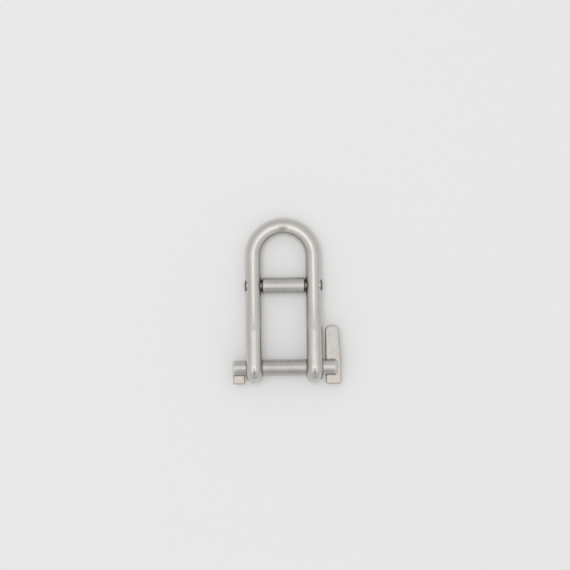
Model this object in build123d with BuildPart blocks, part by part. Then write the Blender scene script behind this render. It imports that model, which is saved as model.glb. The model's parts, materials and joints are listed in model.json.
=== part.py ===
import os
from math import acos, atan2, cos, hypot, sin, sqrt

from build123d import *

os.makedirs("parts", exist_ok=True)

# Key-pin halyard shackle, in millimetres.
# The origin is on the pin's axis, midway between the two ears. +X runs along the pin to the
# handle, +Y runs up the legs to the crown of the bow, and +Z stands out of the shackle's plane.

# Bow: a bent round rod with a forged ear on each end
rod_diameter = 5.0
inside_width = 13.3            # between the straight legs
inside_length = 38.0           # from the pin's surface to the crown's inner surface
ear_diameter = 9.6
ear_thickness = 4.9
ear_rim_radius = 2.1           # the ears are cushion edged, as far as their metal allows
rim_share_of_wall = 0.95       # the most of the ear's wall, or of its half thickness, that a rim takes
neck_length = 20.0             # from the pin's axis to where the rod starts to grow
neck_curve_radius = 24.0       # the hollow curve at the start of each neck's straight taper
neck_flare_radius = 40.0       # the round flare that turns the rod into the ear's flat sides
neck_height_step = 0.05        # left between the end of the hollow curve and the rod's round

# Cross bar: shouldered at both ends and riveted through the legs
bar_diameter = 5.2
bar_to_pin = 24.9              # between the two axes
bar_chamfer = 0.9
tenon_diameter = 2.6
rivet_head_diameter = 3.9
rivet_head_depth = 1.45        # from the leg's outermost line to the foot of the countersink
rivet_rim_depth = 0.15         # from that line to the rim of the dome
rivet_dome_proud = 0.35

# Key: a round pin, slotted at both ends for a handle and a bit
pin_diameter = 5.0
pin_running_gap = 0.08         # all round, in the ears
plate_thickness = 2.2          # of the handle and of the bit
plate_edge_radius = 0.4
handle_side_gap = 0.85         # from the ear to the handle
bit_side_gap = 0.35            # from the ear to the bit
pin_handle_slot_depth = 3.8
pin_handle_end_radius = 1.2
pin_bit_end_radius = 0.6

handle_width = 4.75
handle_tip_width = 4.0
handle_tip_radius = 1.75
handle_reach = 12.7            # from the pin's axis to the tip
handle_heel_reach = 5.15       # from the pin's axis, the other way
handle_heel_radius = 0.7

bit_width = 3.7
bit_reach = 4.95               # from the pin's axis
bit_hidden_edge_depth = 0.3    # inside the pin's surface, on the side away from the reach
bit_corner_radius = 0.6

keyway_gap = 0.25              # round the bit, when it passes through an ear
keyway_corner_radius = 0.3

cut_margin = 1.0               # how far a cutting shape runs past the metal

# Worked out from the above
rod_radius = rod_diameter / 2
ear_radius = ear_diameter / 2
pin_radius = pin_diameter / 2
leg_x = inside_width / 2 + rod_radius
leg_inner_x = leg_x - rod_radius
leg_outer_x = leg_x + rod_radius
crown_y = pin_radius + inside_length + rod_radius
bend_y = crown_y - leg_x
ear_outer_x = leg_x + ear_thickness / 2
ear_wall = ear_radius - pin_radius - pin_running_gap
rim_radius = min(ear_rim_radius, rim_share_of_wall * min(ear_wall, ear_thickness / 2))

# Each neck's hollow curve starts level with the rod, and its taper touches that curve and the
# ear's circle. The taper leans from the leg's axis by this angle.
neck_end_z = rod_radius + neck_height_step
curve_centre_z = neck_end_z + neck_curve_radius
centres_apart = hypot(neck_length, curve_centre_z)
taper_angle = atan2(neck_length, curve_centre_z) - acos(
    (ear_radius + neck_curve_radius) / centres_apart
)

# The flare starts from the rod there and grows until it clears the whole ear.
flare_reach = hypot(ear_radius, ear_thickness / 2) + cut_margin
flare_length = sqrt(neck_flare_radius**2 - (neck_flare_radius + rod_radius - flare_reach) ** 2)

tenon_radius = tenon_diameter / 2
rivet_head_radius = rivet_head_diameter / 2
rivet_foot_x = leg_outer_x - rivet_head_depth
rivet_side_x = rivet_foot_x + rivet_head_radius - tenon_radius
rivet_rim_x = leg_outer_x - rivet_rim_depth

handle_inner_x = ear_outer_x + handle_side_gap
handle_outer_x = handle_inner_x + handle_width
bit_inner_x = -ear_outer_x - bit_side_gap
pin_handle_end_x = handle_inner_x + pin_handle_slot_depth
pin_bit_end_x = bit_inner_x - bit_width
keyway_reach = bit_reach + keyway_gap
keyway_width = plate_thickness + 2 * keyway_gap

bar_axis = Axis((0, bar_to_pin, 0), (1, 0, 0))


def hollow_point(share, side):
    """A point (y, z) of the hollow curve, from its start at the rod (0) to the taper (1)."""
    angle = share * taper_angle
    y = neck_length - neck_curve_radius * sin(angle)
    return y, side * (curve_centre_z - neck_curve_radius * cos(angle))


def flare_radius(y):
    """The radius of the flare round the leg's axis, at y above the pin's axis."""
    return rod_radius + neck_flare_radius - sqrt(neck_flare_radius**2 - (neck_length - y) ** 2)


def along_bar(side):
    """The plane through the bar's axis whose X runs out from the middle to one side."""
    return Plane(origin=(0, bar_to_pin, 0), x_dir=(side, 0, 0), z_dir=(0, 0, side))


def finish(builder, label, colour):
    """Label a finished piece and write its STEP file."""
    builder.part.label = label
    builder.part.color = Color(*colour)
    export_step(builder.part, f"parts/{label}.step")


polished = (0.78, 0.77, 0.74)
satin = (0.72, 0.70, 0.66)


# One forged ear, on the right leg: cushion edged, and turned down to the rod where it ends
with BuildPart() as ear:
    touch_y = ear_radius * sin(taper_angle)
    touch_z = ear_radius * cos(taper_angle)
    with BuildSketch(Plane.YZ.offset(leg_x)):
        with BuildLine():
            ThreePointArc((touch_y, touch_z), (-ear_radius, 0), (touch_y, -touch_z))
            Line((touch_y, -touch_z), hollow_point(1, -1))
            ThreePointArc(hollow_point(1, -1), hollow_point(0.5, -1), hollow_point(0, -1))
            Line(hollow_point(0, -1), hollow_point(0, 1))
            ThreePointArc(hollow_point(0, 1), hollow_point(0.5, 1), hollow_point(1, 1))
            Line(hollow_point(1, 1), (touch_y, touch_z))
        make_face()
    extrude(amount=ear_thickness / 2, both=True)
    rims = ear.faces().filter_by(Axis.X).edges().filter_by(Axis.Z, reverse=True)
    fillet(rims, rim_radius)
    flare_start_y = neck_length - flare_length
    flare_middle_y = neck_length - flare_length / 2
    flare_bottom_y = -ear_radius - cut_margin
    with BuildSketch():
        with BuildLine():
            Polyline(
                (leg_x + flare_reach, flare_start_y),
                (leg_x + flare_reach, flare_bottom_y),
                (leg_x, flare_bottom_y),
                (leg_x, neck_length),
                (leg_x + rod_radius, neck_length),
            )
            ThreePointArc(
                (leg_x + rod_radius, neck_length),
                (leg_x + flare_radius(flare_middle_y), flare_middle_y),
                (leg_x + flare_reach, flare_start_y),
            )
        make_face()
    revolve(axis=Axis((leg_x, 0, 0), (0, 1, 0)), mode=Mode.INTERSECT)


# Bow body
with BuildPart() as bow_body:
    add(ear.part)
    mirror(ear.part, about=Plane.YZ)
    with BuildLine() as rod_centre_line:
        Line((-leg_x, neck_length), (-leg_x, bend_y))
        ThreePointArc((-leg_x, bend_y), (0, crown_y), (leg_x, bend_y))
        Line((leg_x, bend_y), (leg_x, neck_length))
    with BuildSketch(Plane(origin=(-leg_x, neck_length, 0), z_dir=(0, 1, 0))):
        Circle(rod_radius)
    sweep(path=rod_centre_line.line)

    # The pin's bore and, on the crown's side of it, the keyway that the bit passes through
    with BuildSketch(Plane.YZ) as keyhole:
        Circle(pin_radius + pin_running_gap)
        with Locations((keyway_reach / 2, 0)):
            Rectangle(keyway_reach, keyway_width)
        far_corners = keyhole.vertices().group_by(Axis.Y)[-1]
        fillet(far_corners, keyway_corner_radius)
    extrude(amount=ear_outer_x + cut_margin, both=True, mode=Mode.SUBTRACT)

    # A countersunk cross hole in each leg for the bar's riveted tenon
    for side in (-1, 1):
        with BuildSketch(along_bar(side)):
            with BuildLine():
                Polyline(
                    (leg_inner_x - cut_margin, 0),
                    (leg_inner_x - cut_margin, tenon_radius),
                    (rivet_foot_x, tenon_radius),
                    (rivet_side_x, rivet_head_radius),
                    (leg_outer_x + cut_margin, rivet_head_radius),
                    (leg_outer_x + cut_margin, 0),
                    close=True,
                )
            make_face()
        revolve(axis=bar_axis, mode=Mode.SUBTRACT)
finish(bow_body, "bow_body", polished)


# Cross bar
with BuildPart() as cross_bar:
    for side in (-1, 1):
        with BuildSketch(along_bar(side)):
            with BuildLine():
                Polyline(
                    (leg_outer_x + rivet_dome_proud, 0),
                    (0, 0),
                    (0, bar_diameter / 2),
                    (leg_inner_x - bar_chamfer, bar_diameter / 2),
                    (leg_inner_x, bar_diameter / 2 - bar_chamfer),
                    (leg_inner_x, tenon_radius),
                    (rivet_foot_x, tenon_radius),
                    (rivet_side_x, rivet_head_radius),
                    (rivet_rim_x, rivet_head_radius),
                )
                TangentArc(
                    (leg_outer_x + rivet_dome_proud, 0),
                    (rivet_rim_x, rivet_head_radius),
                    tangent=(0, 1),
                )
            make_face()
        revolve(axis=bar_axis)
finish(cross_bar, "cross_bar", satin)


# Key pin
with BuildPart() as key_pin:
    with BuildSketch(Plane.YZ.offset(pin_bit_end_x)):
        Circle(pin_radius)
    extrude(amount=pin_handle_end_x - pin_bit_end_x)
    end_rims = key_pin.edges().filter_by(GeomType.CIRCLE).sort_by(Axis.X)
    fillet(end_rims[0], pin_bit_end_radius)
    end_rims = key_pin.edges().filter_by(GeomType.CIRCLE).sort_by(Axis.X)
    fillet(end_rims[-1], pin_handle_end_radius)
    slot_across = pin_diameter + 2 * cut_margin
    slots = [
        (pin_bit_end_x - cut_margin, bit_inner_x),
        (handle_inner_x, pin_handle_end_x + cut_margin),
    ]
    for start_x, end_x in slots:
        with Locations(((start_x + end_x) / 2, 0, 0)):
            Box(end_x - start_x, slot_across, plate_thickness, mode=Mode.SUBTRACT)
finish(key_pin, "key_pin", polished)


# Key handle
with BuildPart() as key_handle:
    with BuildSketch() as handle_outline:
        with BuildLine():
            Polyline(
                (handle_inner_x, -handle_heel_reach),
                (handle_outer_x, -handle_heel_reach),
                (handle_outer_x, pin_radius),
                (handle_inner_x + handle_tip_width, handle_reach),
                (handle_inner_x, handle_reach),
                close=True,
            )
        make_face()
        tip_corners = handle_outline.vertices().group_by(Axis.Y)[-1]
        fillet(tip_corners, handle_tip_radius)
        heel_corners = handle_outline.vertices().group_by(Axis.Y)[0]
        fillet(heel_corners, handle_heel_radius)
    extrude(amount=plate_thickness / 2, both=True)
    fillet(key_handle.faces().filter_by(Axis.Z).edges(), plate_edge_radius)
finish(key_handle, "key_handle", satin)


# Key bit
with BuildPart() as key_bit:
    bit_hidden_y = pin_radius - bit_hidden_edge_depth
    with BuildSketch() as bit_outline:
        with Locations(((pin_bit_end_x + bit_inner_x) / 2, (bit_hidden_y - bit_reach) / 2)):
            Rectangle(bit_width, bit_reach + bit_hidden_y)
        fillet(bit_outline.vertices().group_by(Axis.Y)[0], bit_corner_radius)
    extrude(amount=plate_thickness / 2, both=True)
    fillet(key_bit.faces().filter_by(Axis.Z).edges(), plate_edge_radius)
finish(key_bit, "key_bit", satin)
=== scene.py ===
import json
import math

import bmesh
import bpy
from mathutils import Matrix, Vector


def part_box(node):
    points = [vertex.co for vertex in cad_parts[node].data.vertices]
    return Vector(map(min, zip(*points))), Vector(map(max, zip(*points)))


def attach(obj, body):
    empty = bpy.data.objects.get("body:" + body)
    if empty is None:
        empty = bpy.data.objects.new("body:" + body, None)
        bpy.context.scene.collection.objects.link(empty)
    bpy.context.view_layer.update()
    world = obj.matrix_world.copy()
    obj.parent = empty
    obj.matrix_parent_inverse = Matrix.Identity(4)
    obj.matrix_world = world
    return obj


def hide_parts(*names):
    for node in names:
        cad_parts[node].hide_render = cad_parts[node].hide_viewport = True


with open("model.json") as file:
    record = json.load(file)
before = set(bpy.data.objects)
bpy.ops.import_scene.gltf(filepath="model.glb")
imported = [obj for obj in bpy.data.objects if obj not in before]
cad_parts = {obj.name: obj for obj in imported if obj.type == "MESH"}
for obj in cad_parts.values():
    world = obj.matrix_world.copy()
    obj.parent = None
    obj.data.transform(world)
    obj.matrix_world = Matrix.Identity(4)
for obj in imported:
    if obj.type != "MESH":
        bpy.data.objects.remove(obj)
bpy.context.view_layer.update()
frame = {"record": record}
mm = 0.001  # sizes below are in millimetres, meshes are in metres

mounts = {mount["name"]: mount for mount in frame["record"]["mounts"]}
pinRadius = mounts["pin_span"]["dims"]["r_mm"]
barRadius = mounts["bar_span"]["dims"]["r_mm"]
barHeight = mounts["bar_span"]["pos_m"][1] / mm  # of the cross bar's axis, above the pin's


# sums on node sockets, so a rule reads as plain arithmetic
class Term:
    def __init__(self, tree, value):
        self.tree = tree
        self.value = value

    def join(self, operation, *others, clamp=False):
        node = self.tree.nodes.new("ShaderNodeMath")
        node.operation = operation
        node.use_clamp = clamp
        for slotIn, part in zip(node.inputs, (self, *others)):
            part = part.value if isinstance(part, Term) else part
            if isinstance(part, bpy.types.NodeSocket):
                self.tree.links.new(part, slotIn)
            else:
                slotIn.default_value = part
        return Term(self.tree, node.outputs[0])

    def __add__(self, other):
        return self.join("ADD", other)

    def __radd__(self, other):
        return self.join("ADD", other)

    def __sub__(self, other):
        return self.join("SUBTRACT", other)

    def __rsub__(self, other):
        return Term(self.tree, other).join("SUBTRACT", self)

    def __mul__(self, other):
        return self.join("MULTIPLY", other)

    def __rmul__(self, other):
        return self.join("MULTIPLY", other)

    def __truediv__(self, other):
        return self.join("DIVIDE", other)

    def __lt__(self, other):
        return self.join("LESS_THAN", other)

    def __gt__(self, other):
        return self.join("GREATER_THAN", other)

    def root(self):
        return self.join("MAXIMUM", 0.0).join("SQRT")

    def square(self):
        return self.join("MULTIPLY", self)

    def cos(self):
        return self.join("COSINE")

    def sin(self):
        return self.join("SINE")

    def size(self):
        return self.join("ABSOLUTE")

    def low(self, other):
        return self.join("MINIMUM", other)

    def high(self, other):
        return self.join("MAXIMUM", other)

    def share(self):  # held between 0 and 1
        return self.join("ADD", 0.0, clamp=True)

    def ease(self):  # the same, with soft ends
        held = self.share()
        return held * held * (3.0 - 2.0 * held)


def choose(test, ifTrue, ifFalse):  # test is 0 or 1
    return ifFalse + test * (ifTrue - ifFalse)


def upTo(value, limit, fade):  # 1 below the limit, falling softly to 0 at it
    return ((limit - value) / fade).ease()


def beyond(value, start, fade):  # 0 up to the start, rising softly to 1 after it
    return ((value - start) / fade).ease()


def unlink(obj):
    bpy.data.objects.remove(obj, do_unlink=True)


def newObject(name, data):
    obj = bpy.data.objects.new(name, data)
    bpy.context.scene.collection.objects.link(obj)
    return obj


def setMesh(obj, mesh):
    old = obj.data
    obj.data = mesh
    bpy.data.meshes.remove(old)


def flatMesh(obj):  # the modified object as one plain mesh
    bpy.context.view_layer.update()
    graph = bpy.context.evaluated_depsgraph_get()
    mesh = bpy.data.meshes.new_from_object(obj.evaluated_get(graph), depsgraph=graph)
    obj.modifiers.clear()
    return mesh


def turnOutwards(bm):
    bmesh.ops.recalc_face_normals(bm, faces=bm.faces)


def meshFrom(bm, name):
    turnOutwards(bm)
    mesh = bpy.data.meshes.new(name)
    bm.to_mesh(mesh)
    bm.free()
    return mesh


studio = {
    "floorRise": 3.07,         # degrees: the shackle lies on its two ears and on the back of its crown
    "aimAcross": 0.45,         # the point in the middle of the view
    "aimUp": 25.08,
    "cameraAbove": 550.0,
    "cameraRoll": 0.72,        # degrees
    "viewAcross": 173.4,
    "sensor": 36.0,
    "nearest": 10.0,           # and furthest: how far away a thing can be and still be drawn
    "furthest": 50000.0,
    "floorSize": 6000.0,
    "floorShade": 0.62,
    "floorRoughness": 0.8,
    "floorGlow": 0.13,
}


def makeCamera():
    rise = math.radians(studio["floorRise"])
    roll = math.radians(studio["cameraRoll"])
    upFromFloor = Vector((0, -math.sin(rise), math.cos(rise)))
    alongFloor = Vector((0, math.cos(rise), math.sin(rise)))
    data = bpy.data.cameras.new("camera")
    data.sensor_width = studio["sensor"]
    data.lens = studio["sensor"] * studio["cameraAbove"] / studio["viewAcross"]
    data.clip_start = studio["nearest"] * mm
    data.clip_end = studio["furthest"] * mm
    camera = newObject("camera", data)
    up = alongFloor * math.cos(roll) + Vector((1, 0, 0)) * math.sin(roll)
    right = up.cross(upFromFloor)
    turn = Matrix((right, up, upFromFloor)).transposed()
    aim = Vector((studio["aimAcross"], studio["aimUp"], 0)) * mm
    stand = Matrix.Translation(aim + upFromFloor * studio["cameraAbove"] * mm)
    camera.matrix_world = stand @ turn.to_4x4()
    bpy.context.scene.camera = camera


def makeFloor():
    rise = math.radians(studio["floorRise"])
    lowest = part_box("bow_body")[0].z
    half = studio["floorSize"] * mm / 2
    corners = [(-half, -half, 0), (half, -half, 0), (half, half, 0), (-half, half, 0)]
    mesh = bpy.data.meshes.new("floor")
    mesh.from_pydata(corners, [], [(0, 1, 2, 3)])
    tilt = Matrix.Rotation(rise, 4, "X")
    mesh.transform(Matrix.Translation((0, 0, lowest / math.cos(rise))) @ tilt)
    floor = newObject("floor", mesh)
    material = bpy.data.materials.new("paleTable")
    material.use_nodes = True
    tree = material.node_tree
    shader = tree.nodes["Principled BSDF"]
    shader.inputs["Base Color"].default_value = (*[studio["floorShade"]] * 3, 1)
    shader.inputs["Roughness"].default_value = studio["floorRoughness"]
    shader.inputs["Specular IOR Level"].default_value = 0.0
    path = tree.nodes.new("ShaderNodeLightPath")  # the table glows a little where it is seen
    seen = Term(tree, path.outputs["Is Camera Ray"]).high(path.outputs["Is Glossy Ray"])
    seen = seen.high(path.outputs["Is Transmission Ray"]) * studio["floorGlow"]
    shader.inputs["Emission Color"].default_value = (1, 1, 1, 1)
    tree.links.new(seen.value, shader.inputs["Emission Strength"])
    mesh.materials.append(material)


# The tent's places are directions, as parts of a sphere of radius 1 round the shackle. A pair of numbers is
# where an edge lies and how soft it is.
tent = {
    # shades of the wall, from the table (0) up to overhead (1)
    "wall": ((0.0, 0.72), (0.27, 0.70), (0.55, 0.74), (0.74, 0.83), (0.88, 0.90), (1.0, 0.92)),
    "overheadAdded": 0.41,
    "overheadCentre": (-0.05, -0.07),
    "overheadHalf": (0.345, 0.48),
    "overheadEdge": (1.25, 0.75),    # in its half sizes
    "armHalf": (0.068, 0.04),        # the camera's arm, a dark strip from overhead down one side
    "armFrom": (-0.80, 0.2),
    "armTo": (0.02, 0.16),
    "armDarkens": 0.44,
    "nearCentre": 0.08,              # the darker side of the room
    "nearHalf": (0.30, 0.2),
    "nearFrom": (-0.34, 0.2),
    "nearDarkens": 0.17,
    "tint": (1.0, 0.996, 0.99),
    "backdrop": 0.80,
    "lampPower": 4.6,
    "lampSize": 0.7,
    "lampPlace": (-0.12, 0.02, 1.3),  # in metres, as its size is
    "lampLean": -0.09,
}


def makeLamp():
    data = bpy.data.lights.new("overhead", "AREA")
    data.shape = "DISK"
    data.size = tent["lampSize"]
    data.energy = tent["lampPower"]
    lamp = newObject("overhead", data)
    lamp.location = tent["lampPlace"]
    lamp.rotation_euler = (0, tent["lampLean"], 0)
    lamp.visible_glossy = False  # the tent alone is mirrored in the steel


def makeWorld():
    world = bpy.data.worlds.new("tent")
    bpy.context.scene.world = world
    world.use_nodes = True
    tree = world.node_tree
    nodes, links = tree.nodes, tree.links
    nodes.clear()
    coordinates = nodes.new("ShaderNodeTexCoord")
    level = nodes.new("ShaderNodeVectorRotate")  # so that the tent stands square on the sloping table
    level.rotation_type = "X_AXIS"
    level.inputs["Angle"].default_value = -math.radians(studio["floorRise"])
    links.new(coordinates.outputs["Generated"], level.inputs["Vector"])
    apart = nodes.new("ShaderNodeSeparateXYZ")
    links.new(level.outputs[0], apart.inputs[0])
    across, along, above = (Term(tree, s) for s in apart.outputs)

    wall = nodes.new("ShaderNodeValToRGB")
    for spot, _ in tent["wall"][1:-1]:  # a new ramp has its two ends already
        wall.color_ramp.elements.new(spot)
    elements = sorted(wall.color_ramp.elements, key=lambda element: element.position)
    for element, (spot, shade) in zip(elements, tent["wall"]):
        element.position = spot
        element.color = (shade, shade, shade, 1)
    links.new(above.value, wall.inputs[0])

    upper = above > 0.0
    (middleX, middleY), (halfX, halfY) = tent["overheadCentre"], tent["overheadHalf"]
    away = (((across - middleX) / halfX).square() + ((along - middleY) / halfY).square()).root()
    overhead = upTo(away, *tent["overheadEdge"]) * upper
    arm = upTo(across.size(), *tent["armHalf"])
    arm = arm * beyond(along, *tent["armFrom"]) * upTo(along, *tent["armTo"]) * upper
    near = upTo((across - tent["nearCentre"]).size(), *tent["nearHalf"]) * upTo(along, *tent["nearFrom"])
    light = Term(tree, wall.outputs[0]) + overhead * tent["overheadAdded"]
    light = light * (1.0 - tent["armDarkens"] * arm) * (1.0 - tent["nearDarkens"] * near)

    background = nodes.new("ShaderNodeBackground")
    background.inputs["Color"].default_value = (*tent["tint"], 1)
    links.new(light.value, background.inputs["Strength"])
    backdrop = nodes.new("ShaderNodeBackground")
    backdrop.inputs["Color"].default_value = (*[tent["backdrop"]] * 3, 1)
    path = nodes.new("ShaderNodeLightPath")
    mix = nodes.new("ShaderNodeMixShader")
    links.new(path.outputs["Is Camera Ray"], mix.inputs[0])
    links.new(background.outputs[0], mix.inputs[1])
    links.new(backdrop.outputs[0], mix.inputs[2])
    output = nodes.new("ShaderNodeOutputWorld")
    links.new(mix.outputs[0], output.inputs[0])


makeCamera()
makeFloor()
makeLamp()
makeWorld()
bpy.context.scene.view_settings.view_transform = "Standard"
print("stage: camera, floor and light")


def rotated(vector, angle):
    cosine, sine = math.cos(angle), math.sin(angle)
    return Vector((vector.x * cosine - vector.y * sine, vector.x * sine + vector.y * cosine))


def roundCorners(corners, radii, inset, steps):  # a closed outline, anticlockwise, drawn in by inset
    leastRadius = 0.01
    count = len(corners)
    points = [Vector(corner) for corner in corners]
    sides = []
    for i in range(count):
        run = (points[(i + 1) % count] - points[i]).normalized()
        inward = Vector((-run.y, run.x))
        sides.append((points[i] + inward * inset, run, inward))
    outline = []
    for i in range(count):
        before, runIn, inwardIn = sides[i - 1]
        after, runOut, _ = sides[i]
        cross = runIn.x * runOut.y - runIn.y * runOut.x
        along = ((after - before).x * runOut.y - (after - before).y * runOut.x) / cross
        corner = before + runIn * along
        radius = max(radii[i] - inset, leastRadius)
        turn = math.atan2(cross, runIn.dot(runOut))
        reach = radius * math.tan(abs(turn) / 2)
        hand = 1 if turn > 0 else -1
        centre = corner - runIn * reach + inwardIn * radius * hand
        start = -inwardIn * radius * hand
        outline += [centre + rotated(start, turn * k / steps) for k in range(steps + 1)]
    return outline


def roundProfile(points, steps):  # an open line of (x, r, corner radius)
    line = [Vector(points[0][:2])]
    for before, here, after in zip(points, points[1:], points[2:]):
        corner = Vector(here[:2])
        radius = here[2]
        if radius <= 0:
            line.append(corner)
            continue
        runIn = (corner - Vector(before[:2])).normalized()
        runOut = (Vector(after[:2]) - corner).normalized()
        turn = math.atan2(runIn.x * runOut.y - runIn.y * runOut.x, runIn.dot(runOut))
        reach = radius * math.tan(abs(turn) / 2)
        hand = 1 if turn > 0 else -1
        inward = Vector((-runIn.y, runIn.x)) * hand
        centre = corner - runIn * reach + inward * radius
        line += [centre + rotated(-inward * radius, turn * k / steps) for k in range(steps + 1)]
    line.append(Vector(points[-1][:2]))
    return line


def divided(line, longest):  # the same line with no stretch longer than this
    fine = [line[0]]
    for a, b in zip(line, line[1:]):
        pieces = max(1, math.ceil((b - a).length / longest))
        fine += [a.lerp(b, k / pieces) for k in range(1, pieces + 1)]
    return fine


def addLathe(bm, line, height, sides):  # turned about the line y = height along X
    rings = []
    for point in line:
        if point.y < 1e-6:  # on the axis
            rings.append([bm.verts.new(Vector((point.x, height, 0)) * mm)])
            continue
        ring = []
        for k in range(sides):
            angle = 2 * math.pi * k / sides
            y, z = point.y * math.cos(angle), point.y * math.sin(angle)
            ring.append(bm.verts.new(Vector((point.x, height + y, z)) * mm))
        rings.append(ring)
    for one, two in zip(rings, rings[1:]):
        for k in range(sides):
            n = (k + 1) % sides
            if len(one) == 1:
                bm.faces.new((one[0], two[n], two[k]))
            elif len(two) == 1:
                bm.faces.new((one[k], one[n], two[0]))
            else:
                bm.faces.new((one[k], one[n], two[n], two[k]))


def addLoft(bm, rings):  # closed rings of points, joined in order, with a flat face over each end
    made = [[bm.verts.new(point * mm) for point in ring] for ring in rings]
    for one, two in zip(made, made[1:]):
        count = len(one)
        for k in range(count):
            n = (k + 1) % count
            bm.faces.new((one[k], one[n], two[n], two[k]))
    bm.faces.new(list(reversed(made[0])))
    bm.faces.new(made[-1])


def cutWith(obj, cutter):
    modifier = obj.modifiers.new("cut", "BOOLEAN")
    modifier.operation = "DIFFERENCE"
    modifier.solver = "EXACT"
    modifier.object = cutter
    setMesh(obj, flatMesh(obj))
    unlink(cutter)


edgeSizes = {
    "sharpDegrees": 34,
    "rubFrom": 0.55,      # how tight a bend is, in 1/mm, where it starts to be rubbed
    "rubFull": 3.0,       # and where it is rubbed bright
    "closest": 0.02,      # faces nearer to each other than this count as this far apart
    "smoothings": 3,
}


def markWear(mesh):  # how tightly each place bends, as a share, for rubbed edges
    bm = bmesh.new()
    bm.from_mesh(mesh)
    bend = [0.0] * len(bm.verts)
    for edge in bm.edges:
        if len(edge.link_faces) != 2:
            continue
        one, two = edge.link_faces
        apart = (one.calc_center_median() - two.calc_center_median()).length
        curve = edge.calc_face_angle_signed(0.0) / max(apart, edgeSizes["closest"] * mm) * mm
        for vert in edge.verts:
            bend[vert.index] = max(bend[vert.index], curve)
    beside = [[edge.other_vert(vert).index for edge in vert.link_edges] for vert in bm.verts]
    bm.free()
    for _ in range(edgeSizes["smoothings"]):
        bend = [0.5 * own + 0.5 * sum(bend[i] for i in near) / len(near) for own, near in zip(bend, beside)]
    start, full = edgeSizes["rubFrom"], edgeSizes["rubFull"]
    wear = mesh.attributes.new("wear", "FLOAT", "POINT")
    for spot, curve in zip(wear.data, bend):
        spot.value = min(1.0, max(0.0, (curve - start) / (full - start)))


def finishPiece(obj, material, body, node):
    mesh = obj.data
    mesh.materials.clear()
    mesh.materials.append(material)
    for face in mesh.polygons:
        face.material_index = 0
    mesh.shade_smooth()
    mesh.set_sharp_from_angle(angle=math.radians(edgeSizes["sharpDegrees"]))
    markWear(mesh)
    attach(obj, body)
    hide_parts(node)


# the steels: plain metal, each with its own grain, blotches, rubbed edges and dirt, and with painted shade
# in its joints and corners; the polished one also has a painted reflection, the turned one a painted
# highlight
def startSteel(name):
    material = bpy.data.materials.new(name)
    material.use_nodes = True
    tree = material.node_tree
    shader = tree.nodes["Principled BSDF"]
    shader.inputs["Metallic"].default_value = 1.0
    return material, tree, shader


def objectPlace(tree):
    return tree.nodes.new("ShaderNodeTexCoord").outputs["Object"]


def attributePlace(tree, name):
    node = tree.nodes.new("ShaderNodeAttribute")
    node.attribute_name = name
    return node.outputs["Vector"]


def attributeShare(tree, name):
    node = tree.nodes.new("ShaderNodeAttribute")
    node.attribute_name = name
    return Term(tree, node.outputs["Fac"])


def inMillimetres(tree, place):
    apart = tree.nodes.new("ShaderNodeSeparateXYZ")
    tree.links.new(place, apart.inputs[0])
    return [Term(tree, s) / mm for s in apart.outputs]


def grain(tree, place, perMm, detail, rough, shift):  # noise, with its repeats per mm along each axis
    mapping = tree.nodes.new("ShaderNodeMapping")
    mapping.inputs["Scale"].default_value = [count / mm for count in perMm]
    mapping.inputs["Location"].default_value = (shift, 1.7 * shift, 0.6 * shift)  # no two grains match
    tree.links.new(place, mapping.inputs["Vector"])
    noise = tree.nodes.new("ShaderNodeTexNoise")
    noise.inputs["Scale"].default_value = 1.0
    noise.inputs["Detail"].default_value = detail
    noise.inputs["Roughness"].default_value = rough
    tree.links.new(mapping.outputs[0], noise.inputs["Vector"])
    return Term(tree, noise.outputs["Fac"])


def centred(noise):  # about -1 to 1
    return (noise - 0.5) * 3.2


def spots(noise, start, fade):  # only its highest places
    return ((noise - start) / fade).share()


def mixed(weights, effects):  # a sum of named effects, on top of what is always there
    total = weights.get("always", 0.0)
    for name, weight in weights.items():
        if name != "always":
            total = total + effects[name] * weight
    return total


def layer(tree, under, colour, share):  # a colour laid over what is under it
    mix = tree.nodes.new("ShaderNodeMix")
    mix.data_type = "RGBA"
    if isinstance(under, tuple):
        mix.inputs["A"].default_value = (*under, 1)
    else:
        tree.links.new(under, mix.inputs["A"])
    mix.inputs["B"].default_value = (*colour, 1)
    tree.links.new(share.share().value, mix.inputs["Factor"])
    return mix.outputs["Result"]


def finishSteel(tree, shader, look, effects):
    effects["shadeAndDirt"] = mixed(look["shadeAndDirt"], effects)
    paint = layer(tree, look["dark"], look["light"], mixed(look["shade"], effects))
    if "straw" in look:
        paint = layer(tree, paint, look["straw"], effects["heat"] * look["strawShows"])
    paint = layer(tree, paint, look["rubbed"], mixed(look["worn"], effects))
    # the dark layer: real dirt and pits, with painted shade in the joints and corners
    paint = layer(tree, paint, look["shadeAndDirtColour"], effects["shadeAndDirt"])
    tree.links.new(paint, shader.inputs["Base Color"])
    rough = mixed(look["rough"], effects).high(look["smoothest"])
    tree.links.new(rough.value, shader.inputs["Roughness"])
    bump = tree.nodes.new("ShaderNodeBump")
    bump.inputs["Strength"].default_value = 1.0
    bump.inputs["Distance"].default_value = look["depth"] * mm
    tree.links.new(mixed(look["height"], effects).value, bump.inputs["Height"])
    tree.links.new(bump.outputs[0], shader.inputs["Normal"])
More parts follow.
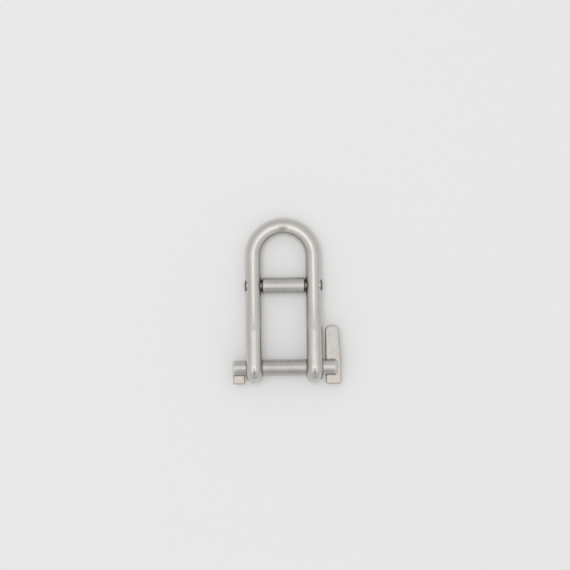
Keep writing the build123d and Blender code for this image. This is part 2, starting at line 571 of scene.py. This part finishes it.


# In each steel's dictionary a grain is its repeats per mm along each axis, its detail, roughness and shift.
# A place is where an effect starts or ends, in mm, and over how far it fades.
# Shade, worn, the dark layer of dirt and painted shade, rough and height say how much of each effect goes
# into them.
polishedSteel = {
    "dark": (0.572, 0.550, 0.520),
    "light": (0.665, 0.645, 0.617),
    "rubbed": (0.74, 0.725, 0.70),
    "shadeAndDirtColour": (0.17, 0.155, 0.14),
    "blotch": ((0.22, 0.22, 0.22), 3.0, 0.55, 3.1),
    "streak": ((0.035, 2.2, 2.2), 3.0, 0.6, 7.7),    # long polishing lines down the rod
    "fine": ((0.12, 7.0, 7.0), 2.0, 0.6, 1.3),
    "wave": ((0.16, 0.30, 0.30), 1.0, 0.4, 5.5),     # the rod isn't quite even
    "cross": ((1.1, 0.35, 0.35), 2.0, 0.5, 9.1),
    "marks": ((1.6, 1.1, 1.4), 4.0, 0.65, 2.2),
    "marksFrom": (0.64, 0.10),                       # of the noise, not in mm
    "insideFrom": (-1.0, 1.4),                       # the inside of the bow is rougher, as it is polished less, and darker with painted shade
    "barUp": (barRadius + 0.5, 0.6),                 # painted shade in the corner between leg and bar
    "barAcross": (7.9, 1.1),
    "pinUp": (pinRadius + 0.8, 0.7),                 # painted shade between ear and pin
    "pinAcross": (7.2, 0.5),
    "rivetRing": (2.35, 0.4),                        # and painted shade round each rivet head
    "rivetFrom": (10.6, 0.3),
    "reflectionSpotHeight": 42.4,                            # a dull dark spot on the crown's top: a painted reflection of the camera
    "reflectionSpotHalf": (1.95, 1.05),
    "reflectionSpotRagged": 0.12,
    "reflectionSpotEdge": (1.0, 0.75),                       # in shares of its half size
    "bendFrom": (33.0, 5.0),
    "bendWaves": 0.9,                                # the bent part is this much more uneven
    # how dark the painted shade in the joints is
    "corners": {"always": 0.41, "blotch": 0.06},
    "pinJointShade": 0.45,
    "rivetJointShade": 0.8,
    "shade": {"always": 0.52, "streak": 0.42, "blotch": 0.36, "fine": 0.22},
    "worn": {"rub": 0.55},
    "shadeAndDirt": {"jointShade": 1.0, "inside": 0.20, "marks": 0.12, "cameraReflectionSpot": 0.34},
    "rough": {
        "always": 0.075,
        "blotch": 0.025,
        "streakSize": 0.03,
        "inside": 0.10,
        "shadeAndDirt": 0.20,
        "marks": 0.12,
        "cameraReflectionSpot": 0.08,
        "rub": 0.03,
    },
    "smoothest": 0.06,
    "height": {"wave": 1.0, "cross": 0.016, "streak": 0.013, "fine": 0.005, "marks": -0.018},
    "depth": 0.030,
}


def makePolished():
    look = polishedSteel
    material, tree, shader = startSteel("polishedStainless")
    place, rod = objectPlace(tree), attributePlace(tree, "straightRod")
    x, y, z = inMillimetres(tree, place)
    offset = inMillimetres(tree, rod)[1]
    blotch = centred(grain(tree, place, *look["blotch"]))
    streak = centred(grain(tree, rod, *look["streak"]))
    wave = grain(tree, rod, *look["wave"])
    aboveBar = y - barHeight
    nearBar = upTo(aboveBar.size(), *look["barUp"]) * upTo(x.size(), *look["barAcross"])
    nearPin = upTo(y.size(), *look["pinUp"]) * upTo(x.size(), *look["pinAcross"])
    fromBar = (aboveBar.square() + z.square()).root()
    nearRivet = upTo(fromBar, *look["rivetRing"]) * beyond(x.size(), *look["rivetFrom"])
    # painted shade where the bow meets the bar, the pin and the rivet heads
    jointShade = nearBar.high(nearPin * look["pinJointShade"]).high(nearRivet * look["rivetJointShade"])
    halfX, halfY = look["reflectionSpotHalf"]
    fromReflectionSpot = ((x / halfX).square() + ((y - look["reflectionSpotHeight"]) / halfY).square()).root()
    effects = {
        "rub": attributeShare(tree, "wear"),
        "blotch": blotch,
        "streak": streak,
        "streakSize": streak.size(),
        "fine": centred(grain(tree, rod, *look["fine"])),
        "cross": centred(grain(tree, rod, *look["cross"])),
        "marks": spots(grain(tree, place, *look["marks"]), *look["marksFrom"]),
        # painted shade on the side of the rod that faces into the bow
        "inside": upTo(offset, *look["insideFrom"]),
        # the camera's painted reflection on the top of the crown, made rougher there too
        "cameraReflectionSpot": upTo(fromReflectionSpot - blotch * look["reflectionSpotRagged"], *look["reflectionSpotEdge"]) * (z > 0.0),
        "wave": wave * (1.0 + look["bendWaves"] * beyond(y, *look["bendFrom"])),
    }
    effects["jointShade"] = jointShade * mixed(look["corners"], effects)
    finishSteel(tree, shader, look, effects)
    return material


turnedSteel = {
    "dark": (0.465, 0.455, 0.434),
    "light": (0.635, 0.626, 0.606),
    "rubbed": (0.68, 0.665, 0.64),
    "shadeAndDirtColour": (0.13, 0.105, 0.085),
    "drawn": ((0.05, 2.6, 2.6), 3.0, 0.6, 4.4),      # lines left by the drawing die
    "rings": ((7.0, 0.25, 0.25), 2.0, 0.55, 8.8),    # and by the lathe
    "blotch": ((0.35, 0.35, 0.35), 3.0, 0.55, 6.1),
    "pits": ((2.4, 2.4, 2.4), 3.0, 0.6, 0.7),
    "dents": ((1.8, 1.8, 1.8), 1.0, 0.5, 2.9),       # on the peened heads
    "pitsFrom": (0.63, 0.10),                        # of the noise, not in mm
    "cornerShadeFrom": (6.10, 0.30),                      # painted shade on the bar's ends, down in the corner by the leg
    "cornerShadeTo": 9.0,
    "peenedFrom": (11.05, 0.3),
    "rimShadeFrom": (1.25, 0.4),                          # painted shade round the rim of each rivet head, where it meets the leg
    # painted shade on the pin where it runs into each ear
    "earMiddle": 9.15,
    "earReach": (2.9, 0.348),
    "bearingTo": (7.2, 0.6),                         # dulled where a fitting bears on the pin
    "tipFrom": (14.6, 0.7),                          # both ends of the pin are smoother from handling, and painted brighter as a highlight
    "shade": {"always": 0.50, "drawn": 0.48, "blotch": 0.38, "rings": 0.20},
    "tipWornAndHighlight": 0.8,
    "rubWorn": 0.5,
    "worn": {"handledAndHighlight": 1.0},
    "shadeAndDirt": {
        "corner": 0.44,
        "rim": 0.74,
        "peened": 0.18,
        "earJointShade": 0.40,
        "bearing": 0.11,
        "pits": 0.12,
        "darkBlotch": 0.05,
    },
    "rough": {
        "always": 0.24,
        "tipped": -0.11,
        "drawn": 0.035,
        "blotch": 0.03,
        "shadeAndDirt": 0.12,
        "peened": 0.08,
        "rub": -0.08,
    },
    "smoothest": 0.12,
    "height": {"drawn": 0.05, "rings": 0.025, "blotch": 0.30, "pits": -0.12, "dented": 0.8},
    "depth": 0.016,
}


def makeTurned():
    look = turnedSteel
    material, tree, shader = startSteel("turnedStainless")
    place = objectPlace(tree)
    x, y, z = inMillimetres(tree, place)
    rub = attributeShare(tree, "wear")
    blotch = centred(grain(tree, place, *look["blotch"]))
    onBar = y > barHeight / 2
    onPin = 1.0 - onBar
    fromBar = ((y - barHeight).square() + z.square()).root()
    peened = beyond(x.size(), *look["peenedFrom"]) * onBar
    tipped = beyond(x.size(), *look["tipFrom"]) * onPin
    effects = {
        "rub": rub,
        "blotch": blotch,
        "darkBlotch": blotch.high(0.0),
        "drawn": centred(grain(tree, place, *look["drawn"])),
        "rings": centred(grain(tree, place, *look["rings"])),
        "pits": spots(grain(tree, place, *look["pits"]), *look["pitsFrom"]),
        # painted shade on the bar's ends beside the legs
        "corner": beyond(x.size(), *look["cornerShadeFrom"]) * onBar * (x.size() < look["cornerShadeTo"]),
        "peened": peened,
        # painted shade round each rivet head's rim
        "rim": peened * beyond(fromBar, *look["rimShadeFrom"]),
        "dented": peened * centred(grain(tree, place, *look["dents"])),
        # painted shade on the pin at the ears
        "earJointShade": upTo((x.size() - look["earMiddle"]).size(), *look["earReach"]) * onPin,
        "bearing": upTo(x.size(), *look["bearingTo"]) * onPin,
        "tipped": tipped,
        # rubbed edges, and a painted highlight on the pin's ends
        "handledAndHighlight": (rub * look["rubWorn"]).high(tipped * look["tipWornAndHighlight"]),
    }
    finishSteel(tree, shader, look, effects)
    return material


stampedSteel = {
    "dark": (0.455, 0.430, 0.402),
    "light": (0.700, 0.668, 0.636),
    "rubbed": (0.70, 0.68, 0.65),
    "shadeAndDirtColour": (0.14, 0.105, 0.08),
    "straw": (0.655, 0.575, 0.465),
    "strawShows": 0.34,
    "mottle": ((0.75, 0.75, 0.75), 3.0, 0.6, 5.2),
    "speckle": ((2.6, 2.6, 2.6), 2.0, 0.6, 1.9),
    "rolled": ((3.2, 0.22, 3.2), 2.0, 0.5, 7.3),     # rolling lines run up the sheet
    "sheared": ((5.0, 5.0, 0.5), 2.0, 0.5, 3.4),     # shear marks run through the edge
    "pits": ((1.9, 1.9, 1.9), 4.0, 0.65, 8.1),
    "pitsFrom": (0.62, 0.09),                        # of the noise, not in mm
    "cutFacing": (0.75, 0.4),                        # of the surface's direction out of the sheet's plane
    "plateJointHeight": 2.32,
    "plateJointReach": (0.30, 0.22),                       # painted shade where the pin grips the plate
    "plateJointAcross": (15.9, 0.6),
    "heatBelow": (-1.4, 2.2),                        # straw coloured below the joint
    "shade": {"always": 0.54, "mottle": 0.45, "speckle": 0.40, "rolled": 0.16},
    "worn": {"rub": 0.5},
    "shadeAndDirt": {"plateJointShade": 0.62, "cutSide": 0.42, "pits": 0.22},
    "rough": {"always": 0.40, "mottle": 0.05, "speckle": 0.03, "cutSide": 0.10, "shadeAndDirt": 0.08, "rub": -0.10},
    "smoothest": 0.15,
    "height": {"mottle": 0.35, "speckle": 0.10, "rolled": 0.03, "shearedSide": 0.25, "pits": -0.35},
    "depth": 0.020,
}


def makeStamped():
    look = stampedSteel
    material, tree, shader = startSteel("stampedStainless")
    place = objectPlace(tree)
    x, y, _ = inMillimetres(tree, place)
    facing = tree.nodes.new("ShaderNodeSeparateXYZ")
    tree.links.new(tree.nodes.new("ShaderNodeTexCoord").outputs["Normal"], facing.inputs[0])
    # the sheared sides come out darker: partly their own dull cut finish, partly painted shade in the
    # narrow gaps beside the plates
    cutSide = upTo(Term(tree, facing.outputs[2]).size(), *look["cutFacing"])
    fromPlateJoint = (y.size() - look["plateJointHeight"]).size()
    effects = {
        "rub": attributeShare(tree, "wear"),
        "mottle": centred(grain(tree, place, *look["mottle"])),
        "speckle": centred(grain(tree, place, *look["speckle"])),
        "rolled": centred(grain(tree, place, *look["rolled"])),
        "shearedSide": centred(grain(tree, place, *look["sheared"])) * cutSide,
        "pits": spots(grain(tree, place, *look["pits"]), *look["pitsFrom"]),
        "cutSide": cutSide,
        # painted shade along the pin's grip on the plate
        "plateJointShade": upTo(fromPlateJoint, *look["plateJointReach"]) * upTo(x.size(), *look["plateJointAcross"]),
        "heat": upTo(y, *look["heatBelow"]),
    }
    finishSteel(tree, shader, look, effects)
    return material


polished = makePolished()
turned = makeTurned()
stamped = makeStamped()
print("stage: finishes")


# the bow: one bent rod whose ends grow into ears
bowSizes = {
    "Rod radius": 2.5,
    "Leg offset": 9.15,       # from the middle to a leg's axis
    "Crown height": 42.992,   # of the rod's axis, above the pin's
    "Ear radius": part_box("bow_body")[1].z / mm,
    "Ear thickness": 4.9,
    "Rim radius": 2.1,
    "Neck length": 20.0,      # up from the pin, to where the ear has become the leg
    "Neck curve": 24.0,
    "Neck flare": 40.0,
    "Rows": 380,
    "Sides": 112,
}
keyholeSizes = {
    "boreRadius": 2.58,
    "reach": 5.2,
    "halfWidth": 1.35,
    "corner": 0.3,
    "mouth": 0.16,            # of the round edge where it opens
    "boreSteps": 64,
    "cornerSteps": 8,
    "mouthAngles": (0.4, 0.8, 1.2, math.pi / 2),
    "past": 1.0,              # how far its cutter stands out of the ear
}
rivetSizes = {
    "tenon": 1.3,             # radii of the tenon and of the head
    "head": 1.95,
    "foot": 10.2,             # from the middle to the head's foot, rim and tip
    "rim": 11.5,
    "tip": 12.0,
    "rimRound": 0.1,
    "domeSteps": 14,
    "ringGap": 0.045,
    "cutFrom": 5.6,           # its hole's cutter, from inside the leg to outside it
    "cutTo": 13.0,
    "cutSides": 64,
}


def bowTree(material):
    tree = bpy.data.node_groups.new("bentRodWithEars", "GeometryNodeTree")
    sockets = {}
    for name, value in bowSizes.items():
        kind = "NodeSocketInt" if isinstance(value, int) else "NodeSocketFloat"
        socket = tree.interface.new_socket(name=name, in_out="INPUT", socket_type=kind)
        socket.default_value = value
        sockets[name] = socket.identifier
    tree.interface.new_socket(name="Geometry", in_out="OUTPUT", socket_type="NodeSocketGeometry")
    nodes, links = tree.nodes, tree.links
    given = nodes.new("NodeGroupInput")

    def size(name):
        return Term(tree, given.outputs[name])

    def joined(*parts):  # a place in metres, from three numbers in mm
        node = nodes.new("ShaderNodeCombineXYZ")
        for part, slotIn in zip(parts, node.inputs):
            links.new((part * mm).value, slotIn)
        return node.outputs[0]

    rod, leg, crown = size("Rod radius"), size("Leg offset"), size("Crown height")
    earRadius, half, rim = size("Ear radius"), size("Ear thickness") * 0.5, size("Rim radius")
    neck, curve, flare = size("Neck length"), size("Neck curve"), size("Neck flare")

    grid = nodes.new("GeometryNodeMeshGrid")
    grid.inputs["Size X"].default_value = 1.0
    grid.inputs["Size Y"].default_value = 1.0
    links.new(given.outputs["Rows"], grid.inputs["Vertices X"])
    links.new(given.outputs["Sides"], grid.inputs["Vertices Y"])
    place = nodes.new("GeometryNodeInputPosition")
    apart = nodes.new("ShaderNodeSeparateXYZ")
    links.new(place.outputs[0], apart.inputs[0])
    alongRow = Term(tree, apart.outputs[0])
    roundRing = Term(tree, apart.outputs[1]) + 0.5

    # along the rod: from the middle of the crown to the foot of each ear
    crownShare, legShare = 0.30, 0.45  # of the rows, where the crown ends and where the leg ends
    hand = alongRow.join("SIGN")
    far = alongRow.size() * 2.0
    bend = crown - leg
    onLeg = ((far - crownShare) / (legShare - crownShare)).share()
    onEar = ((far - legShare) / (1.0 - legShare)).share()
    up = bend - (bend - neck) * onLeg - (neck + earRadius) * (onEar * (math.pi / 2)).sin()
    swing = (1.0 - (far / crownShare).low(1.0)) * (math.pi / 2)

    # the ear's outline, drawn in by a depth, at a height above the pin
    stepOut, leastDisc = 0.05, 0.0005  # the neck stands off the rod, and the last ring closes to a line
    startZ = rod + stepOut
    centreZ = startZ + curve
    apartness = (neck.square() + centreZ.square()).root()
    lean = neck.join("ARCTAN2", centreZ) - ((earRadius + curve) / apartness).join("ARCCOSINE")
    leanSin, leanCos = lean.sin(), lean.cos()
    held = up.low(neck)

    def outline(depth):
        disc = ((earRadius - depth).square() - held.square() - leastDisc).root()
        taper = (earRadius - depth - held * leanSin) / leanCos
        hollow = centreZ - ((curve + depth).square() - (neck - held).square()).root()
        lower = choose(held < (earRadius - depth) * leanSin, disc, taper)
        return choose(held > neck - (curve + depth) * leanSin, hollow, lower)

    # a quarter of the ring, from the ear's flat side, round its rim, to its top
    quarter = (roundRing * 4.0).join("PINGPONG", 1.0)
    deepest = rim.low(earRadius + held).high(0.0)
    firstAngle = (1.0 - deepest / rim).low(1.0).join("ARCSINE")
    sideRun = outline(deepest)
    rimRun = rim * (math.pi / 2 - firstAngle)
    topRun = half - rim
    travel = quarter * (sideRun + rimRun + topRun)
    onRim = (travel - sideRun).high(0.0).low(rimRun)
    rimAngle = firstAngle + onRim / rim
    outwards = topRun + rim * rimAngle.cos() - (travel - sideRun - rimRun).high(0.0)
    rimHeight = outline(rim * (1.0 - rimAngle.sin()))
    height = choose(travel < sideRun, travel, rimHeight)

    # the flare keeps the neck round, and the side flats run out along the leg
    roundsWithin, flatsRunOut, leastCos = 5.0, 6.0, 0.0001  # the first two in mm up the leg
    earAngle = height.join("ARCTAN2", outwards)
    past = (up - neck).high(0.0)
    angle = earAngle + (quarter * (math.pi / 2) - earAngle) * (past / roundsWithin).ease()
    flatDepth = half + (rod - half) * (past / flatsRunOut).ease()
    earReach = (outwards.square() + height.square()).root()
    legReach = flatDepth / angle.cos().high(leastCos)
    reach = choose(up > neck, legReach, earReach)
    flareRadius = rod + flare - (flare.square() - (neck - held).square()).root()
    radius = reach.low(flareRadius)
    full = roundRing * (2 * math.pi)
    offset = radius * angle.cos() * full.cos().join("SIGN")
    outOfPlane = radius * angle.sin() * full.sin().join("SIGN")
    bent = leg + offset
    rodRun = hand * ((far / crownShare).low(1.0) * leg * (math.pi / 2) + bend - up)

    store = nodes.new("GeometryNodeStoreNamedAttribute")
    store.data_type = "FLOAT_VECTOR"
    store.domain = "POINT"
    store.inputs["Name"].default_value = "straightRod"  # for a grain that follows the bend
    links.new(grid.outputs["Mesh"], store.inputs["Geometry"])
    links.new(joined(rodRun, offset, outOfPlane), store.inputs["Value"])
    move = nodes.new("GeometryNodeSetPosition")
    links.new(store.outputs[0], move.inputs["Geometry"])
    moved = joined(hand * bent * swing.cos(), up + bent * swing.sin(), outOfPlane)
    links.new(moved, move.inputs["Position"])
    weldWithin = 0.003
    weld = nodes.new("GeometryNodeMergeByDistance")  # closes the ring's seam and the ears' last rings
    weld.inputs["Distance"].default_value = weldWithin * mm
    links.new(move.outputs[0], weld.inputs["Geometry"])
    real = nodes.new("GeometryNodeRealizeInstances")
    links.new(weld.outputs[0], real.inputs[0])
    paint = nodes.new("GeometryNodeSetMaterial")
    paint.inputs["Material"].default_value = material
    links.new(real.outputs[0], paint.inputs["Geometry"])
    result = nodes.new("NodeGroupOutput")
    links.new(paint.outputs[0], result.inputs[0])
    return tree, sockets


def keyholeOutline(x, spread):
    names = ("boreRadius", "reach", "halfWidth", "corner")
    bore, top, wide, corner = (keyholeSizes[name] + spread for name in names)
    boreSteps, cornerSteps = keyholeSizes["boreSteps"], keyholeSizes["cornerSteps"]
    start = math.asin(wide / bore)
    outline = []
    for k in range(boreSteps + 1):  # the bore, from one side of the keyway to the other
        angle = start + (2 * math.pi - 2 * start) * k / boreSteps
        outline.append(Vector((x, bore * math.cos(angle), bore * math.sin(angle))))
    for side, first in ((-1, -math.pi / 2), (1, 0.0)):  # the keyway's two far corners
        for k in range(cornerSteps + 1):
            angle = first + math.pi / 2 * k / cornerSteps
            y = top - corner + corner * math.cos(angle)
            z = side * (wide - corner) + corner * math.sin(angle)
            outline.append(Vector((x, y, z)))
    return outline


def makeCutters():
    bm = bmesh.new()
    keyhole, rivet = keyholeSizes, rivetSizes
    inner = bowSizes["Leg offset"] - bowSizes["Ear thickness"] / 2
    outer = bowSizes["Leg offset"] + bowSizes["Ear thickness"] / 2
    mouth = keyhole["mouth"]
    rounding = [(mouth * (1 - math.cos(a)), mouth * (1 - math.sin(a))) for a in keyhole["mouthAngles"]]
    half = [(outer + keyhole["past"], mouth), (outer, mouth)]
    half += [(outer - sunk, spread) for sunk, spread in rounding]
    half += [(inner + sunk, spread) for sunk, spread in reversed(rounding)]
    half += [(inner, mouth)]
    whole = half + [(-x, spread) for x, spread in reversed(half)]
    addLoft(bm, [keyholeOutline(x, spread) for x, spread in whole])
    seat = rivet["head"] + rivet["ringGap"]
    seatFrom = rivet["foot"] + rivet["head"] - rivet["tenon"]
    hole = [(rivet["cutFrom"], 0), (rivet["cutFrom"], rivet["tenon"]), (rivet["foot"], rivet["tenon"])]
    hole += [(seatFrom, seat), (rivet["cutTo"], seat), (rivet["cutTo"], 0)]
    for side in (1, -1):
        addLathe(bm, [Vector((side * x, radius)) for x, radius in hole], barHeight, rivet["cutSides"])
    return newObject("cutters", meshFrom(bm, "cutters"))


def makeBow():
    obj = newObject("bow", bpy.data.meshes.new("bowStart"))
    tree, sockets = bowTree(polished)
    modifier = obj.modifiers.new("bentRodWithEars", "NODES")
    modifier.node_group = tree
    for name, value in bowSizes.items():
        modifier[sockets[name]] = value
    skin = flatMesh(obj)
    bm = bmesh.new()
    bm.from_mesh(skin)
    turnOutwards(bm)
    bm.to_mesh(skin)
    bm.free()
    setMesh(obj, skin)
    cutWith(obj, makeCutters())
    finishPiece(obj, polished, "bow", "bow_body")


makeBow()
print("stage: bow")


# the cross bar is turned, chamfered and peened over in the legs
barSizes = {
    "shoulder": 6.65,
    "chamferAlong": 0.55,
    "chamferIn": 1.0,
    "chamferRound": 0.12,
    "shoulderRound": 0.05,
    "roundSteps": 5,
    "sides": 96,
    "longest": 0.4,
}


def makeBar():
    rivet, bar = rivetSizes, barSizes
    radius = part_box("cross_bar")[1].z / mm
    rise = rivet["tip"] - rivet["rim"]
    bulge = (rivet["head"] ** 2 + rise**2) / (2 * rise)
    fall = math.asin(rivet["head"] / bulge)
    half = [
        (0.0, radius, 0),
        (bar["shoulder"] - bar["chamferAlong"], radius, bar["chamferRound"]),
        (bar["shoulder"], radius - bar["chamferIn"], bar["shoulderRound"]),
        (bar["shoulder"], rivet["tenon"], 0),
        (rivet["foot"], rivet["tenon"], 0),
        (rivet["foot"] + rivet["head"] - rivet["tenon"], rivet["head"], 0),
        (rivet["rim"], rivet["head"], rivet["rimRound"]),
    ]
    for k in range(1, rivet["domeSteps"] + 1):
        angle = fall * (1 - k / rivet["domeSteps"])
        half.append((rivet["tip"] - bulge + bulge * math.cos(angle), bulge * math.sin(angle), 0))
    line = roundProfile(half, bar["roundSteps"])
    whole = [Vector((-p.x, p.y)) for p in reversed(line[1:])] + line
    bm = bmesh.new()
    addLathe(bm, divided(whole, bar["longest"]), barHeight, bar["sides"])
    obj = newObject("crossBar", meshFrom(bm, "crossBar"))
    finishPiece(obj, turned, "bow", "cross_bar")


makeBar()
print("stage: cross bar")


# the key: pin, handle and bit
pinSizes = {
    "bitEndRound": 0.6,
    "handleEndRound": 1.2,
    "slotGap": 0.07,
    "roundSteps": 12,
    "sides": 96,
    "longest": 0.5,
    "past": 1.0,              # how far a slot's cutter stands out of the pin
}
plateSizes = {
    "half": 1.1,              # of its thickness
    "edge": 0.55,
    "edgeSteps": 6,
    "cornerSteps": 10,
    "faceInset": 1.0,
    "mergeWithin": 0.0005,
}
handleSizes = {"heel": 0.7, "tip": 1.75, "bend": 6.0, "tipWidth": 4.0}
bitSizes = {"footCorner": 0.6, "topCorner": 0.42}


def makePin():
    low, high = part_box("key_pin")
    left, right = low.x / mm, high.x / mm
    profile = [
        (left, 0.0, 0),
        (left, pinRadius, pinSizes["bitEndRound"]),
        (right, pinRadius, pinSizes["handleEndRound"]),
        (right, 0.0, 0),
    ]
    line = divided(roundProfile(profile, pinSizes["roundSteps"]), pinSizes["longest"])
    bm = bmesh.new()
    addLathe(bm, line, 0.0, pinSizes["sides"])
    obj = newObject("keyPin", meshFrom(bm, "keyPin"))
    cuts = bmesh.new()
    gap, past = pinSizes["slotGap"], pinSizes["past"]
    thick = 2 * (plateSizes["half"] + gap)
    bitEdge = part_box("key_bit")[1].x / mm + gap
    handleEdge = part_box("key_handle")[0].x / mm - gap
    for start, end in ((left - past, bitEdge), (handleEdge, right + past)):
        made = bmesh.ops.create_cube(cuts, size=1.0)["verts"]  # twice as high as the pin
        bmesh.ops.scale(cuts, vec=Vector((end - start, 4 * pinRadius, thick)) * mm, verts=made)
        bmesh.ops.translate(cuts, vec=Vector(((start + end) / 2, 0, 0)) * mm, verts=made)
    cutWith(obj, newObject("slots", meshFrom(cuts, "slots")))
    finishPiece(obj, turned, "key", "key_pin")


def makePlate(name, node, corners, radii):
    half, edge, steps = plateSizes["half"], plateSizes["edge"], plateSizes["edgeSteps"]
    depths = [(plateSizes["faceInset"], half)]
    for k in range(steps + 1):
        angle = math.pi / 2 * k / steps
        depths.append((edge * (1 - math.sin(angle)), half - edge + edge * math.cos(angle)))
    depths += [(inset, -height) for inset, height in reversed(depths)]
    rings = []
    for inset, height in depths:
        outline = roundCorners(corners, radii, inset, plateSizes["cornerSteps"])
        rings.append([Vector((p.x, p.y, height)) for p in outline])
    bm = bmesh.new()
    addLoft(bm, rings)
    bmesh.ops.remove_doubles(bm, verts=bm.verts, dist=plateSizes["mergeWithin"] * mm)
    obj = newObject(name, meshFrom(bm, name))
    finishPiece(obj, stamped, "key", node)


def makeHandle():
    low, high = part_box("key_handle")
    left, right, foot, top = low.x / mm, high.x / mm, low.y / mm, high.y / mm
    heel, tip = handleSizes["heel"], handleSizes["tip"]
    topRight = left + handleSizes["tipWidth"]
    corners = [(left, foot), (right, foot), (right, pinRadius), (topRight, top), (left, top)]
    makePlate("keyHandle", "key_handle", corners, [heel, heel, handleSizes["bend"], tip, tip])


def makeBit():
    low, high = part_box("key_bit")
    left, right, foot, top = low.x / mm, high.x / mm, low.y / mm, high.y / mm
    corners = [(left, foot), (right, foot), (right, top), (left, top)]
    lower, upper = bitSizes["footCorner"], bitSizes["topCorner"]
    makePlate("keyBit", "key_bit", corners, [lower, lower, upper, upper])


makePin()
makeHandle()
makeBit()
print("stage: key")
